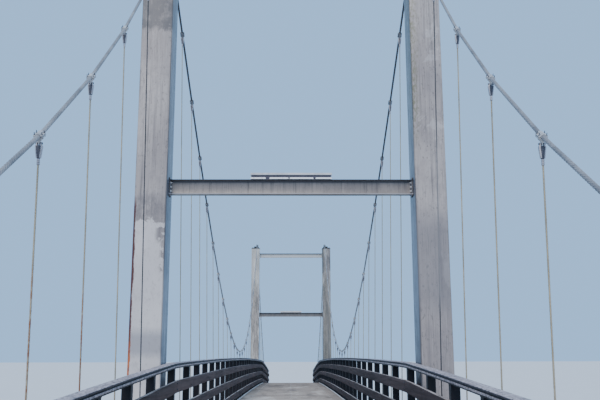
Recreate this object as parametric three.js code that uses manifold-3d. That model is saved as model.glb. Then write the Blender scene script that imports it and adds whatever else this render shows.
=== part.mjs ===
// Suspension footbridge: two steel portal towers, two rope cables with hangers, and an arched timber deck.
// Sizes are those of the real bridge in millimetres, and the finished group is scaled down by MODEL_SCALE.
// X runs across the bridge, Y along it from the near end to the far end, and Z is up from the footings' base.
import * as THREE from "three";
import { mergeVertices } from "three/addons/utils/BufferGeometryUtils.js";
import Module from "manifold-3d";

const wasm = await Module();
wasm.setup();

// Driving dimensions of the real bridge
const MODEL_SCALE = 0.5;
const GAP = 0.7; // clearance between neighbouring pieces

const TOWER_Y = 13400; // tower axis, from midspan
const HANGER_PITCH = 1100;
const FIRST_HANGER = 1300; // tower axis to the nearest hanger on both sides
const MAIN_HANGERS = 23;
const SIDE_HANGERS = 7;
const SIDE_STATIONS = 10; // posts and floor beams of a side span, hangers included
const DECK_OVERHANG = 100; // deck past the last post
const SPAN_SPLIT = 80; // main deck reaches this far past the tower axis

const DECK_CREST_Z = 2595;
const CAMBER = 0.46e-6; // fall of the main deck per square millimetre from midspan
const SIDE_FALL = 0.04; // slope of a side deck where it leaves the tower
const SIDE_CAMBER = 1.3e-6; // further fall of a side deck per square millimetre from the tower
const PLANK_THICK = 50;
const DECK_HALF_WIDTH = 1299;
const STRINGER_HIGH = 100;
const STRINGER_WIDE = 60;
const STRINGER_X = [-1000, 0, 1000];
const FLOOR_BEAM_HIGH = 140;
const FLOOR_BEAM_WIDE = 70;
const FLOOR_BEAM_REACH = 1520; // half length where hangers hold it
const FLOOR_BEAM_SHORT = 1420; // half length at the towers and over the abutments
const WELD = 4; // how far welded members run into each other

const POST_X = 1375;
const POST_WIDE = 80; // across the bridge
const POST_DEEP = 100; // along it
const RAIL_X = 1362;
const RAIL_WIDE = 106;
const RAIL_HIGH = 65;
const RAIL_TOP = 1000; // above the deck
const BOARD_THICK = 34;
const BOARD_HIGH = 136;
const BOARD_TOPS = { top: 803, middle: 515, lower: 198 };

const LEG_X = 1656;
const LEG_SIZE = 380;
const LEG_TOP_Z = 8670;
const BASE_PLATE = 560;
const BASE_PLATE_THICK = 30;
const PLINTH_SIZE = 900;
const PLINTH_HIGH = 500;
const LOWER_BEAM = { z: 5580, high: 182, wide: 92 };
const UPPER_BEAM = { z: 8340, high: 190, wide: 92 };
const DECK_BEAM = { high: 240, wide: 370 };
const FLANGE_THICK = 10;
const WEB_THICK = 8;
const END_PLATE = { thick: 15, over: 40 };
const PANEL = { wide: 980, deep: 120, high: 72 };

const ROPE_RADIUS = 15;
const ROPE_SIDES = 6;
const CLAMP_RADIUS = 40;
const CLAMP_LONG = 76;
const HANGER_RADIUS = 9;
// Socket and ferrule at a hanger's top, as [way down from the cable, radius]
const HANGER_TOP = [[0, 9], [60, 9], [62, 28], [139, 17], [141, 14], [183, 14], [185, 9]];
const HANGER_FORK = { long: 160, radius: 18 }; // at its foot
const MAIN_FOOT_X = 1440; // hangers' feet in the main span
const SIDE_FOOT_X = 1460;
const SADDLE_X = 1585;
const CABLE_MID_Z = 3775;
const CABLE_EASE = 0.4; // how much straighter than a parabola the main cable is near the towers
const CABLE_VERTEX_Z = 8920; // where the two straight runs would meet above the tower axis
const SIDE_SLOPE_TOP = -1.131; // of the side cable at the tower
const SIDE_LAST_Z = 2950; // cable at the last hanger of a side span
const SIDE_SLOPE_END = -0.504; // from the last hanger down to the anchorage
const SADDLE_RADIUS = 250; // of the rope's axis over the tower
const SADDLE = { plate: 340, plateThick: 20, cradle: 80, blockWide: 150, blockLong: 200, blockHigh: 92 };

const ANCHOR_D = 9950; // anchor face, from the tower axis
const ANCHOR_X = 1600;
const ANCHOR_SOCKET = [[290, 15], [280, 28], [90, 60], [0, 66]]; // [way back from the face, radius]
const ANCHOR_BLOCK = { inner: 1450, outer: 1850, below: 220, above: 280 };
const BACKWALL = 250;

// Stations along the bridge
const mainHangerY = range(MAIN_HANGERS).map((i) => FIRST_HANGER - TOWER_Y + i * HANGER_PITCH);
const sideStationD = range(SIDE_STATIONS).map((i) => FIRST_HANGER + i * HANGER_PITCH);
const lastHangerD = sideStationD[SIDE_HANGERS - 1];
const deckEndY = TOWER_Y + sideStationD[SIDE_STATIONS - 1] + DECK_OVERHANG;

// The deck is a chain of straight bays, two hanger pitches long, whose corners lie on its curved line.
const mainKnots = [-TOWER_Y - SPAN_SPLIT, ...everySecond(mainHangerY), TOWER_Y + SPAN_SPLIT];
const sideKnotD = everySecond(sideStationD.slice(0, -1));
const sideKnots = [TOWER_Y + SPAN_SPLIT, ...sideKnotD.map((d) => TOWER_Y + d), deckEndY];
const allKnots = [...sideKnots.toReversed().map((y) => -y), ...mainKnots.slice(1, -1), ...sideKnots];

const spans = [
  { name: "near", knots: sideKnots.toReversed().map((y) => -y), side: -1 },
  { name: "main", knots: mainKnots, side: 0 },
  { name: "far", knots: sideKnots, side: 1 },
];

function range(n) {
  return [...Array(n).keys()];
}

function everySecond(list) {
  return list.filter((_, i) => i % 2 === 0);
}

function camberZ(y) {
  const inside = Math.min(Math.abs(y), TOWER_Y);
  const d = Math.abs(y) - inside;
  return DECK_CREST_Z - CAMBER * inside ** 2 - SIDE_FALL * d - SIDE_CAMBER * d ** 2;
}

// Deck surface on the chain of bays
function deckZ(y) {
  const i = Math.min(Math.max(allKnots.findIndex((k) => k >= y), 1), allKnots.length - 1);
  const [a, b] = [allKnots[i - 1], allKnots[i]];
  return THREE.MathUtils.lerp(camberZ(a), camberZ(b), (y - a) / (b - a));
}

// Geometry helpers
function solidFrom(geometry) {
  const bare = geometry.clone();
  bare.deleteAttribute("normal");
  bare.deleteAttribute("uv");
  const merged = mergeVertices(bare, 1e-3);
  const mesh = new wasm.Mesh({
    numProp: 3,
    vertProperties: merged.attributes.position.array,
    triVerts: new Uint32Array(merged.index.array),
  });
  return new wasm.Manifold(mesh);
}

function fused(geometries) {
  const joined = geometries.map(solidFrom).reduce((sum, next) => sum.add(next));
  const mesh = joined.getMesh();
  const geometry = new THREE.BufferGeometry();
  geometry.setAttribute("position", new THREE.BufferAttribute(mesh.vertProperties, mesh.numProp));
  geometry.setIndex(new THREE.BufferAttribute(mesh.triVerts, 1));
  geometry.computeVertexNormals();
  return geometry;
}

function box(x0, x1, y0, y1, z0, z1) {
  const [x, y, z] = [(x0 + x1) / 2, (y0 + y1) / 2, (z0 + z1) / 2];
  return new THREE.BoxGeometry(x1 - x0, y1 - y0, z1 - z0).translate(x, y, z);
}

// An outline drawn in (y, z), carried across from x0 to x1
function sideProfile(outline, x0, x1) {
  const shape = new THREE.Shape(outline.map(([y, z]) => new THREE.Vector2(y, z)));
  const turn = new THREE.Matrix4().makeBasis(
    new THREE.Vector3(0, 1, 0),
    new THREE.Vector3(0, 0, 1),
    new THREE.Vector3(1, 0, 0),
  );
  const carried = new THREE.ExtrudeGeometry(shape, { depth: x1 - x0, bevelEnabled: false });
  return carried.applyMatrix4(turn).translate(x0, 0, 0);
}

// A straight-sided band that follows the deck between two heights above it
function deckBand(knots, low, high, x0, x1) {
  const under = knots.map((y) => [y, deckZ(y) + low]);
  const over = knots.toReversed().map((y) => [y, deckZ(y) + high]);
  return sideProfile([...under, ...over], x0, x1);
}

// A prism through a chain of points, with one radius or a radius for each point. A ring has its first corner
// towards +X. It stands across its two bays, or square to Y where squareRings lists it.
function rod(points, radius, sides, { turn = 0, squareRings = [] } = {}) {
  const radii = points.map((_, i) => (Array.isArray(radius) ? radius[i] : radius));
  const across = new THREE.Vector3(1, 0, 0);
  const position = [];
  const index = [];
  points.forEach((point, i) => {
    const before = points[Math.max(i - 1, 0)];
    const after = points[Math.min(i + 1, points.length - 1)];
    const into = i > 0 ? point.clone().sub(before).normalize() : new THREE.Vector3();
    const out = i < points.length - 1 ? after.clone().sub(point).normalize() : new THREE.Vector3();
    const along = into.add(out).normalize();
    if (squareRings.includes(i)) along.set(0, Math.sign(along.y), 0);
    const side = across.clone().addScaledVector(along, -across.dot(along)).normalize();
    const up = new THREE.Vector3().crossVectors(side, along);
    for (const k of range(sides)) {
      const angle = turn + (2 * Math.PI * k) / sides;
      const corner = point
        .clone()
        .addScaledVector(side, radii[i] * Math.cos(angle))
        .addScaledVector(up, radii[i] * Math.sin(angle));
      position.push(corner.x, corner.y, corner.z);
    }
  });
  for (let i = 0; i < points.length - 1; i++) {
    for (const k of range(sides)) {
      const next = (k + 1) % sides;
      const [a, b] = [i * sides + k, i * sides + next];
      index.push(a, a + sides, b, b, a + sides, b + sides);
    }
  }
  const last = (points.length - 1) * sides;
  for (let k = 1; k < sides - 1; k++) {
    index.push(0, k, k + 1);
    index.push(last, last + k + 1, last + k);
  }
  const geometry = new THREE.BufferGeometry();
  geometry.setAttribute("position", new THREE.Float32BufferAttribute(position, 3));
  geometry.setIndex(index);
  geometry.computeVertexNormals();
  return geometry;
}

// Materials
const paint = new THREE.MeshStandardMaterial({ color: 0x9aa0a6, roughness: 0.55, metalness: 0.3 });
const darkSteel = new THREE.MeshStandardMaterial({ color: 0x23252e, roughness: 0.55, metalness: 0.5 });
const galvanised = new THREE.MeshStandardMaterial({ color: 0x8b909a, roughness: 0.5, metalness: 0.7 });
const blackCast = new THREE.MeshStandardMaterial({ color: 0x17181b, roughness: 0.7, metalness: 0.4 });
const greyTimber = new THREE.MeshStandardMaterial({ color: 0x8c877e, roughness: 0.9, metalness: 0 });
const brownTimber = new THREE.MeshStandardMaterial({ color: 0x6e6459, roughness: 0.9, metalness: 0 });
const railPaint = new THREE.MeshStandardMaterial({ color: 0x8f90a6, roughness: 0.6, metalness: 0.1 });
const concrete = new THREE.MeshStandardMaterial({ color: 0xa3a099, roughness: 0.95, metalness: 0 });
const panelPaint = new THREE.MeshStandardMaterial({ color: 0xd9d9d6, roughness: 0.5, metalness: 0.1 });

const bridge = new THREE.Group();

function place(name, geometry, material) {
  const mesh = new THREE.Mesh(geometry, material.clone());
  mesh.name = name;
  bridge.add(mesh);
}

const ends = [
  { end: "near", way: -1 },
  { end: "far", way: 1 },
];
const flanks = [
  { flank: "left", hand: -1 },
  { flank: "right", hand: 1 },
];

// Concrete plinths and box-section legs
function plinth(hand, way) {
  const [x, y, half] = [hand * LEG_X, way * TOWER_Y, PLINTH_SIZE / 2];
  return box(x - half, x + half, y - half, y + half, 0, PLINTH_HIGH);
}

function leg(hand, way) {
  const [x, y, half, plate] = [hand * LEG_X, way * TOWER_Y, LEG_SIZE / 2, BASE_PLATE / 2];
  const foot = PLINTH_HIGH + GAP;
  return fused([
    box(x - plate, x + plate, y - plate, y + plate, foot, foot + BASE_PLATE_THICK),
    box(x - half, x + half, y - half, y + half, foot + BASE_PLATE_THICK - WELD, LEG_TOP_Z),
  ]);
}

// Crossbeams of rolled I-section with an end plate against each leg
const legInnerX = LEG_X - LEG_SIZE / 2;

function crossbeam(way, { z, high, wide }) {
  const y = way * TOWER_Y;
  const [halfWide, halfHigh, halfWeb] = [wide / 2, high / 2, WEB_THICK / 2];
  const web = halfHigh - FLANGE_THICK;
  const outline = [
    [-halfWide, -halfHigh], [halfWide, -halfHigh], [halfWide, -web], [halfWeb, -web],
    [halfWeb, web], [halfWide, web], [halfWide, halfHigh], [-halfWide, halfHigh],
    [-halfWide, web], [-halfWeb, web], [-halfWeb, -web], [-halfWide, -web],
  ].map(([dy, dz]) => [y + dy, z + dz]);
  const plateFace = legInnerX - GAP - END_PLATE.thick;
  const plates = flanks.map(({ hand }) => {
    const [a, b] = [hand * plateFace, hand * (legInnerX - GAP)];
    const over = END_PLATE.over / 2;
    return box(
      Math.min(a, b), Math.max(a, b),
      y - halfWide - over, y + halfWide + over,
      z - halfHigh - over, z + halfHigh + over,
    );
  });
  return fused([sideProfile(outline, -plateFace - WELD, plateFace + WELD), ...plates]);
}

const towerFloorZ = deckZ(TOWER_Y) - PLANK_THICK - STRINGER_HIGH - FLOOR_BEAM_HIGH;

function deckBeam(way) {
  const reach = legInnerX - GAP;
  const [y, half, top] = [way * TOWER_Y, DECK_BEAM.wide / 2, towerFloorZ - GAP];
  return box(-reach, reach, y - half, y + half, top - DECK_BEAM.high, top);
}

function beamPanel(way) {
  const [y, half, base] = [way * TOWER_Y, PANEL.deep / 2, LOWER_BEAM.z + LOWER_BEAM.high / 2 + GAP];
  return box(-PANEL.wide / 2, PANEL.wide / 2, y - half, y + half, base, base + PANEL.high);
}

// The rope's line over a tower, in (d, z): d is the distance outwards from the tower axis
const mainAngle = Math.atan(mainCableSlope(TOWER_Y));
const sideAngle = Math.atan(-SIDE_SLOPE_TOP);
const arcLean = (sideAngle - mainAngle) / 2;
const arcDrop = SADDLE_RADIUS / Math.cos((sideAngle + mainAngle) / 2);
const arcD = -arcDrop * Math.sin(arcLean);
const arcZ = CABLE_VERTEX_Z - arcDrop * Math.cos(arcLean);
const mainArcAngles = range(4).map((i) => (-mainAngle * i) / 3);
const sideArcAngles = range(5).map((i) => (sideAngle * i) / 4);

function arcPoint(angle, radius) {
  return [arcD + radius * Math.sin(angle), arcZ + radius * Math.cos(angle)];
}

const sideCurve = new THREE.CubicBezierCurve(
  new THREE.Vector2(0, CABLE_VERTEX_Z),
  new THREE.Vector2(lastHangerD / 3, CABLE_VERTEX_Z + (SIDE_SLOPE_TOP * lastHangerD) / 3),
  new THREE.Vector2((2 * lastHangerD) / 3, SIDE_LAST_Z - (SIDE_SLOPE_END * lastHangerD) / 3),
  new THREE.Vector2(lastHangerD, SIDE_LAST_Z),
);

function mainCableZ(y) {
  const s = Math.abs(y) / TOWER_Y;
  return CABLE_MID_Z + (CABLE_VERTEX_Z - CABLE_MID_Z) * s ** 2 * (1 + CABLE_EASE * (1 - s));
}

function mainCableSlope(y) {
  const s = Math.abs(y) / TOWER_Y;
  const rise = (CABLE_VERTEX_Z - CABLE_MID_Z) / TOWER_Y;
  return Math.sign(y) * rise * s * (2 + 2 * CABLE_EASE - 3 * CABLE_EASE * s);
}

function sideCableZ(d) {
  return sideCurve.getPoint(d / lastHangerD).y;
}

// The cables and hangers of a span lean in one plane, from the floor beams' ends out to the saddles.
function cableX(z, footX) {
  const floor = DECK_CREST_Z - PLANK_THICK - STRINGER_HIGH;
  return footX + ((SADDLE_X - footX) * (z - floor)) / (CABLE_VERTEX_Z - floor);
}

function hangerFootZ(y) {
  return deckZ(y) - PLANK_THICK - STRINGER_HIGH + GAP;
}

// Saddle on a leg's top: a base plate, a block on the leg's axis, and the cradle that the rope bends over
function saddle(hand, way) {
  const [x, y, halfPlate, base] = [hand * LEG_X, way * TOWER_Y, SADDLE.plate / 2, LEG_TOP_Z + GAP];
  const plateTop = base + SADDLE.plateThick;
  const halfStep = sideAngle / 8;
  const seat = (SADDLE_RADIUS - ROPE_RADIUS * Math.cos(Math.PI / ROPE_SIDES)) - GAP / Math.cos(halfStep);
  const arc = [...mainArcAngles.toReversed(), ...sideArcAngles.slice(1)]
    .map((angle) => arcPoint(angle, seat))
    .filter(([, z]) => z > plateTop + GAP);
  const cradle = [
    [arc[0][0], plateTop - WELD],
    ...arc,
    [arc.at(-1)[0], plateTop - WELD],
  ].map(([d, z]) => [way * (TOWER_Y + d), z]);
  if (way < 0) cradle.reverse();
  const half = SADDLE.cradle / 2;
  const [halfWide, halfLong] = [SADDLE.blockWide / 2, SADDLE.blockLong / 2];
  return fused([
    box(x - halfPlate, x + halfPlate, y - halfPlate, y + halfPlate, base, plateTop),
    box(x - halfWide, x + halfWide, y - halfLong, y + halfLong, plateTop - WELD, base + SADDLE.blockHigh),
    sideProfile(cradle.toReversed(), hand * SADDLE_X - half, hand * SADDLE_X + half),
  ]);
}

// A hanger with the socket and ferrule at its top and the fork at its foot
function hanger({ point, foot }) {
  const down = foot.clone().sub(point);
  const length = down.length();
  const fork = length - HANGER_FORK.long;
  const bottom = [[fork - 2, HANGER_RADIUS], [fork, HANGER_FORK.radius], [length, HANGER_FORK.radius]];
  const rings = [...HANGER_TOP, ...bottom];
  const points = rings.map(([way]) => point.clone().addScaledVector(down, way / length));
  return rod(points, rings.map(([, radius]) => radius), 4, { turn: Math.PI / 4 });
}

// A cable with its clamps and hangers; spots are the points where hangers hold it
function cableWithHangers(chain, radii, spots, squareRings) {
  const clamps = spots.map(({ point, along }) => {
    const reach = along.clone().multiplyScalar(CLAMP_LONG / 2);
    return rod([point.clone().sub(reach), point.clone().add(reach)], CLAMP_RADIUS, 4, { turn: Math.PI / 4 });
  });
  return fused([rod(chain, radii, ROPE_SIDES, { squareRings }), ...clamps, ...spots.map(hanger)]);
}

function cableSpot(hand, footX, y, z, slope) {
  return {
    point: new THREE.Vector3(hand * cableX(z, footX), y, z),
    along: new THREE.Vector3(0, 1, slope).normalize(),
    foot: new THREE.Vector3(hand * footX, y, hangerFootZ(y)),
  };
}

function arcChain(hand, way, angles) {
  return angles.map((angle) => {
    const [d, z] = arcPoint(angle, SADDLE_RADIUS);
    return new THREE.Vector3(hand * SADDLE_X, way * (TOWER_Y + d), z);
  });
}

function mainCable(hand) {
  const spots = mainHangerY.map((y) => cableSpot(hand, MAIN_FOOT_X, y, mainCableZ(y), mainCableSlope(y)));
  const nearArc = arcChain(hand, -1, mainArcAngles);
  const farArc = arcChain(hand, 1, mainArcAngles).toReversed();
  nearArc[0].y += GAP / 2;
  farArc.at(-1).y -= GAP / 2;
  const chain = [...nearArc, ...spots.map((spot) => spot.point), ...farArc];
  return cableWithHangers(chain, ROPE_RADIUS, spots, [0, chain.length - 1]);
}

function anchorPoint(hand, way) {
  const z = SIDE_LAST_Z + SIDE_SLOPE_END * (ANCHOR_D - lastHangerD);
  return new THREE.Vector3(hand * ANCHOR_X, way * (TOWER_Y + ANCHOR_D), z);
}

function sideCable(hand, way) {
  const spots = sideStationD.slice(0, SIDE_HANGERS).map((d) => {
    const z = sideCableZ(d);
    const fall = sideCurve.getTangent(d / lastHangerD);
    return cableSpot(hand, SIDE_FOOT_X, way * (TOWER_Y + d), z, (way * fall.y) / fall.x);
  });
  const arc = arcChain(hand, way, sideArcAngles);
  arc[0].y += (way * GAP) / 2;
  const anchor = anchorPoint(hand, way);
  const last = spots.at(-1).point;
  const backstay = anchor.clone().sub(last);
  // The backstay also turns outwards, so its socket's square-cut end stops a little short of the anchor face.
  const turnOut = Math.asin(Math.abs(backstay.x) / backstay.length());
  const short = GAP + ANCHOR_SOCKET.at(-1)[1] * Math.tan(turnOut);
  anchor.addScaledVector(backstay.normalize(), -short);
  const socket = ANCHOR_SOCKET.map(([back]) => anchor.clone().addScaledVector(backstay, -back));
  const rope = [...arc, ...spots.map((spot) => spot.point)];
  const chain = [...rope, ...socket];
  const radii = [...rope.map(() => ROPE_RADIUS), ...ANCHOR_SOCKET.map(([, radius]) => radius)];
  if (way > 0) return cableWithHangers(chain, radii, spots, [0]);
  return cableWithHangers(chain.toReversed(), radii.toReversed(), spots, [chain.length - 1]);
}

// Abutment: one mass of concrete with a bridge seat, a back wall and two anchor blocks beside the deck
function abutment(way) {
  const anchor = anchorPoint(1, way);
  const fall = Math.atan(-SIDE_SLOPE_END);
  const facing = [Math.sin(fall), Math.cos(fall)];
  const low = [ANCHOR_D - ANCHOR_BLOCK.below * facing[0], anchor.z - ANCHOR_BLOCK.below * facing[1]];
  const high = [ANCHOR_D + ANCHOR_BLOCK.above * facing[0], anchor.z + ANCHOR_BLOCK.above * facing[1]];
  const deckEndD = deckEndY - TOWER_Y + GAP;
  const back = deckEndD + BACKWALL;
  const seatZ = deckZ(deckEndY - DECK_OVERHANG) - PLANK_THICK - STRINGER_HIGH - FLOOR_BEAM_HIGH - GAP;
  const toRow = ([d, z]) => [way * (TOWER_Y + d), z];
  const wound = (outline) => (way > 0 ? outline : outline.toReversed());
  const deckEndZ = deckZ(deckEndY);
  const body = wound([
    [low[0], 0], [back, 0], [back, deckEndZ], [deckEndD, deckEndZ], [deckEndD, seatZ], [low[0], seatZ],
  ].map(toRow));
  const block = wound([[low[0], 0], [back, 0], [back, high[1]], high, low].map(toRow));
  const middle = (ANCHOR_BLOCK.inner + ANCHOR_BLOCK.outer) / 2;
  return fused([
    sideProfile(body, -middle, middle),
    sideProfile(block, -ANCHOR_BLOCK.outer, -ANCHOR_BLOCK.inner),
    sideProfile(block, ANCHOR_BLOCK.inner, ANCHOR_BLOCK.outer),
  ]);
}

// Floor beams with stringers welded on top
function floorBeam(y, reach, underZ) {
  const top = deckZ(y) - PLANK_THICK - STRINGER_HIGH;
  const half = FLOOR_BEAM_WIDE / 2;
  return box(-reach, reach, y - half, y + half, underZ ?? top - FLOOR_BEAM_HIGH, top);
}

function trimmed(knots) {
  return knots.map((y, i) => {
    if (i === 0) return y + GAP / 2;
    return i === knots.length - 1 ? y - GAP / 2 : y;
  });
}

function floorFrame({ knots, side }) {
  const beams = side
    ? [
        floorBeam(side * (TOWER_Y + SPAN_SPLIT + FLOOR_BEAM_WIDE), FLOOR_BEAM_SHORT, towerFloorZ),
        ...sideStationD.map((d, i) => {
          const reach = i <= SIDE_HANGERS ? FLOOR_BEAM_REACH : FLOOR_BEAM_SHORT;
          return floorBeam(side * (TOWER_Y + d), reach);
        }),
      ]
    : [
        floorBeam(-TOWER_Y, FLOOR_BEAM_SHORT, towerFloorZ),
        ...mainHangerY.map((y) => floorBeam(y, FLOOR_BEAM_REACH)),
        floorBeam(TOWER_Y, FLOOR_BEAM_SHORT, towerFloorZ),
      ];
  const low = -PLANK_THICK - STRINGER_HIGH - WELD;
  const half = STRINGER_WIDE / 2;
  const high = -PLANK_THICK - GAP;
  const stringers = STRINGER_X.map((x) => deckBand(trimmed(knots), low, high, x - half, x + half));
  return fused([...stringers, ...beams]);
}

function deckSlab({ knots }) {
  return deckBand(trimmed(knots), -PLANK_THICK, 0, -DECK_HALF_WIDTH, DECK_HALF_WIDTH);
}

// Railing: posts on the floor beams' ends under a continuous top rail
function railing({ knots, side }, hand) {
  const stations = side
    ? sideStationD.map((d) => side * (TOWER_Y + d))
    : [-TOWER_Y, ...mainHangerY, TOWER_Y];
  const [halfWide, halfDeep] = [POST_WIDE / 2, POST_DEEP / 2];
  const posts = stations.map((y) => {
    const foot = deckZ(y) - PLANK_THICK - STRINGER_HIGH + GAP;
    const head = deckZ(y) + RAIL_TOP - RAIL_HIGH + WELD;
    const x = hand * POST_X;
    return box(x - halfWide, x + halfWide, y - halfDeep, y + halfDeep, foot, head);
  });
  const x = hand * RAIL_X;
  const rail = deckBand(trimmed(knots), RAIL_TOP - RAIL_HIGH, RAIL_TOP, x - RAIL_WIDE / 2, x + RAIL_WIDE / 2);
  return fused([rail, ...posts]);
}

function railingBoard(hand, top) {
  const outer = POST_X - POST_WIDE / 2 - GAP;
  const [a, b] = [hand * outer, hand * (outer - BOARD_THICK)];
  return deckBand(allKnots, top - BOARD_HIGH, top, Math.min(a, b), Math.max(a, b));
}

for (const { end, way } of ends) {
  for (const { flank, hand } of flanks) {
    place(`${end}_${flank}_plinth`, plinth(hand, way), concrete);
    place(`${end}_${flank}_tower_leg`, leg(hand, way), paint);
    place(`${end}_${flank}_saddle`, saddle(hand, way), blackCast);
    place(`${end}_${flank}_side_cable`, sideCable(hand, way), galvanised);
  }
  place(`${end}_lower_crossbeam`, crossbeam(way, LOWER_BEAM), paint);
  place(`${end}_upper_crossbeam`, crossbeam(way, UPPER_BEAM), paint);
  place(`${end}_deck_beam`, deckBeam(way), paint);
  place(`${end}_beam_panel`, beamPanel(way), panelPaint);
  place(`${end}_abutment`, abutment(way), concrete);
}

for (const span of spans) {
  place(`${span.name}_deck`, deckSlab(span), greyTimber);
  place(`${span.name}_floor_frame`, floorFrame(span), darkSteel);
  for (const { flank, hand } of flanks) {
    place(`${span.name}_${flank}_railing`, railing(span, hand), railPaint);
  }
}

for (const { flank, hand } of flanks) {
  place(`${flank}_main_cable`, mainCable(hand), galvanised);
  for (const [level, top] of Object.entries(BOARD_TOPS)) {
    place(`${flank}_${level}_board`, railingBoard(hand, top), brownTimber);
  }
}

bridge.scale.setScalar(MODEL_SCALE);

export default bridge;
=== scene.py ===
import math
import random

import bpy
import numpy as np
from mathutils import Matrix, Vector


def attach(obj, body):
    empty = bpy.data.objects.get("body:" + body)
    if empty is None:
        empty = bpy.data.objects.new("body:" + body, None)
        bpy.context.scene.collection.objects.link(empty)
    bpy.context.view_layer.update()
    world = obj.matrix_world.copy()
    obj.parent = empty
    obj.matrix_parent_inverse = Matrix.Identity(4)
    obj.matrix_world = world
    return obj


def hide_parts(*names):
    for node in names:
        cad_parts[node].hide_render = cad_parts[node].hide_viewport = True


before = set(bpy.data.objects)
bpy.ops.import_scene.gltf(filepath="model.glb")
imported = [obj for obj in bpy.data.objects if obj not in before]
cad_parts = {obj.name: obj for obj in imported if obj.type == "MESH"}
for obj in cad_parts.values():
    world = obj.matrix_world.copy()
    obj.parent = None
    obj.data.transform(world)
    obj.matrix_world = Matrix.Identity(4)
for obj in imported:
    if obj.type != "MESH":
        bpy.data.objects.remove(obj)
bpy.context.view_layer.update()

# Sizes are those of the real bridge in millimetres, as in the part's source; M turns them into model metres.
M = 0.0005
GAP = 0.7
UP = (0, 0, 1)
SIDES = (("left", -1), ("right", 1))
ENDS = (("near", -1), ("far", 1))
CORNERS = [(f"{end}_{flank}", sign, way) for end, way in ENDS for flank, sign in SIDES]

# Plan, deck and floor
TOWER_Y = 13400.0
DECK_END = 24700.0
PITCH = 1100.0
FIRST_HANGER = 1300.0
SIDE_HANGERS = 7
SIDE_STATIONS = 10
SPAN_SPLIT = 80.0
DECK_CREST_Z = 2595.0
CAMBER = 0.46e-6
SIDE_FALL = 0.04
SIDE_CAMBER = 1.3e-6
DECK_HALF = 1299.0
PLANK_THICK = 50.0
PLANK_PITCH = 153.0
PLANK_TONES = (0, 0, 1, 1, 1, 2, 2, 3, 4)
SCREW_Y = 38
SCREW_HEAD = [(-2, 6.5), (0.6, 6.0), (1.4, 3.0)]
STRIP_PITCH = 2200.0
STRIP_GAP = 6.0
STRIP_SECTION = [(1266, 1), (1298.5, 1), (1298.5, 6.5), (1296, 8.5), (1268, 8.5), (1266, 6.5)]
STRINGER_HIGH = 100.0
STRINGER_HALF = 30
STRINGER_X = (-1000.0, 0.0, 1000.0)
FLOOR_BEAM = {"high": 140.0, "wide": 70.0, "long": 1520.0, "short": 1420.0}
SPANS = (
    ("near", -DECK_END, -TOWER_Y - SPAN_SPLIT, -1),
    ("main", -TOWER_Y - SPAN_SPLIT, TOWER_Y + SPAN_SPLIT, 0),
    ("far", TOWER_Y + SPAN_SPLIT, DECK_END, 1),
)

# Railings; sections are drawn in (x from the rail's axis, z from its top)
POST_X = 1375.0
POST_WIDE = 80.0
POST_DEEP = 100.0
POST_FOOT = (48, 82, 10)
POST_RIB = [(0, 0), (24, 0), (0, 70)]
RAIL_X = 1362.0
RAIL_TOP = 1000.0
RAIL_HIGH = 65.0
RAIL_SECTION = [
    (-53, -5), (-50, -1.5), (-43, 0), (43, 0), (50, -1.5), (53, -5), (53, -15), (50, -18), (37, -18),
    (37, -31),
    (48, -31), (52, -33), (52, -46), (48, -49), (33, -49), (33, -65), (-33, -65), (-33, -49), (-48, -49),
    (-52, -46), (-52, -33), (-48, -31), (-37, -31), (-37, -18), (-50, -18), (-53, -15),
]
# Faces of the rail that take painted shade: the groove and the lower channel in the dark steel paint, the
# cap's sides and undersides in a darker copy of the rail paint
RAIL_STEEL_SHADE = {8, 9, 14, 15, 16, 17, 21, 22}
RAIL_CAP_SHADE = {5, 6, 7, 23, 24, 25}
RAIL_END = 900
BAYS = 4
BOARD_THICK = 34.0
BOARD_HIGH = 136.0
BOARD_END = 1500
# Each board's top over the deck, and the first post that carries a joint
BOARDS = {"top": (803.0, 2), "middle": (515.0, 0), "lower": (198.0, 3)}
BOARD_BOLT = [(-1, 10.5), (1.75, 9.975), (4.0, 6.51), (5.0, 2.1)]

# Towers and concrete
LEG_X = 1656.0
LEG = 380.0
LEG_TOP = 8670.0
CAP_HALF = 196
FOOT_HALF = 280
COLLAR_HALF = 194
STIFFENER = [(0, 0), (82, 0), (82, 18), (12, 150), (0, 150)]
PLINTH_HIGH = 500.0
PLINTH = 900.0
LOWER_BEAM = {"z": 5580.0, "high": 182.0, "wide": 92.0}
UPPER_BEAM = {"z": 8340.0, "high": 190.0, "wide": 92.0}
DECK_BEAM = {"high": 240.0, "wide": 370.0, "flange": 16, "web_in": 22}
PANEL_HALF = 490.0
PANEL_STRIPS = ((-PANEL_HALF, -305), (-263, -32), (-20, 268), (292, PANEL_HALF))

# Cables and hangers
# Radius, lay, step between sections, and a strand's section as shares of the radius
ROPE = (15.0, 220.0, 18.0, (0.78, 0.94, 1.0, 0.94))
HANGER = (6.5, 110.0, 24.0, (0.9, 1.0))
MAIN_FOOT_X = 1440.0
SIDE_FOOT_X = 1460.0
SADDLE_X = 1585.0
SADDLE_RADIUS = 250.0
SADDLE_STEPS = 12
CABLE_MID_Z = 3775.0
CABLE_EASE = 0.4
CABLE_VERTEX_Z = 8920.0
SIDE_SLOPE_TOP = -1.131
SIDE_LAST_Z = 2950.0
SIDE_SLOPE_END = -0.504
ANCHOR_D = 9950.0
ANCHOR_X = 1600.0

# Clamp halves across the cable, and (distance along it, size) at their ends
CLAMP_UPPER = [(-28, 2), (28, 2), (28, 9), (17, 11), (14, 18), (7, 22), (-7, 22), (-14, 18), (-17, 11),
               (-28, 9)]
CLAMP_LOWER = [(-28, -2), (28, -2), (28, -9), (18, -12), (9, -32), (-9, -32), (-18, -12), (-28, -9)]
CLAMP_LENGTH = ((-36, 0.9), (-34, 1), (34, 1), (36, 0.9))
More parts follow.
